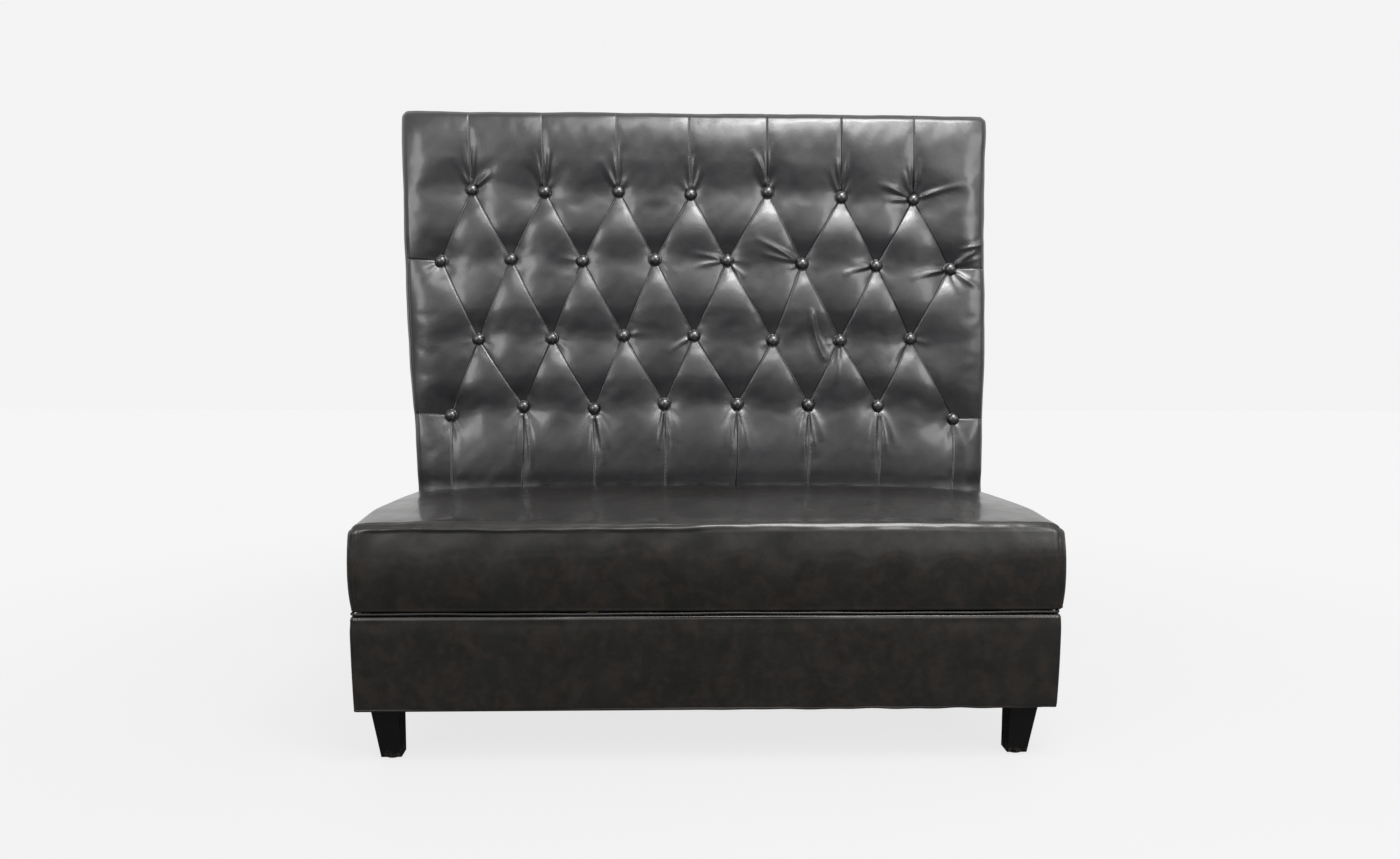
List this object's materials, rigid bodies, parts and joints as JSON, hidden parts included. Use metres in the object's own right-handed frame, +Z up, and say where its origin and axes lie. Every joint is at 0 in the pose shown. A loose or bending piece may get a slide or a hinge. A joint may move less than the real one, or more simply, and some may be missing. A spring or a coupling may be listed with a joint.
{
  "type": "restaurant booth bench",
  "caption": "High-backed upholstered booth bench with a diamond-tufted button back, boxed seat cushion, upholstered base and short tapered legs.",
  "frame": {"origin": "on the floor, in the middle of the bench's footprint", "axes": "+X along the bench to the right of someone facing it, +Y from the front to the wall side, +Z up"},
  "size_m": [1.222, 0.65, 1.206],
  "materials": {
    "leather": "glossy, finely grained",
    "foam": "open-cell foam and wadding",
    "leg_lacquer": "black satin lacquer",
    "glide_plastic": "matte",
    "felt": "pressed felt",
    "black_cloth": "bonded cloth",
    "twine": "waxed",
    "plywood": "sanded",
    "hardboard": "smooth",
    "timber": "planed",
    "steel": "zinc plated"
  },
  "bodies": {
    "root": {"back_cover": "leather", "back_foam": "foam", "back_left_side_cover": "leather", "back_low_rail": "timber", "back_middle_rail": "timber", "back_post_left": "timber", "back_post_right": "timber", "back_right_side_cover": "leather", "back_side_board_left": "plywood", "back_side_board_right": "plywood", "back_side_paddings": "foam", "back_studs": "timber", "back_top_padding": "foam", "back_top_rail": "timber", "base_cover": "leather", "base_cross_rails": "plywood", "base_front_rail": "plywood", "base_left_rail": "plywood", "base_padding": "foam", "base_rear_rail": "plywood", "base_right_rail": "plywood", "base_welt": "leather", "bracket_screws": "steel", "clip_nails": "steel", "corner_blocks": "timber", "dust_cloth": "black_cloth", "dust_cloth_staples": "steel", "leg_front_left": "leg_lacquer", "leg_front_right": "leg_lacquer", "leg_glides": "glide_plastic", "leg_hanger_bolts": "steel", "leg_rear_left": "leg_lacquer", "leg_rear_right": "leg_lacquer", "leg_tee_nuts": "steel", "post_bolts": "steel", "post_nuts": "steel", "post_washers": "steel", "rear_cover": "leather", "rear_panel": "hardboard", "seat_brackets": "steel", "seat_cover": "leather", "seat_foam": "foam", "seat_front_rail": "timber", "seat_left_rail": "timber", "seat_left_side_cover": "leather", "seat_packers": "timber", "seat_rear_rail": "timber", "seat_right_rail": "timber", "seat_right_side_cover": "leather", "seat_springs": "steel", "spring_clips": "steel", "spring_felt": "felt", "tuft_buttons": "leather", "tuft_twines": "twine", "tufting_panel": "plywood", "tufting_panel_screws": "steel", "twine_washers": "steel"}
  },
  "joints": []
}
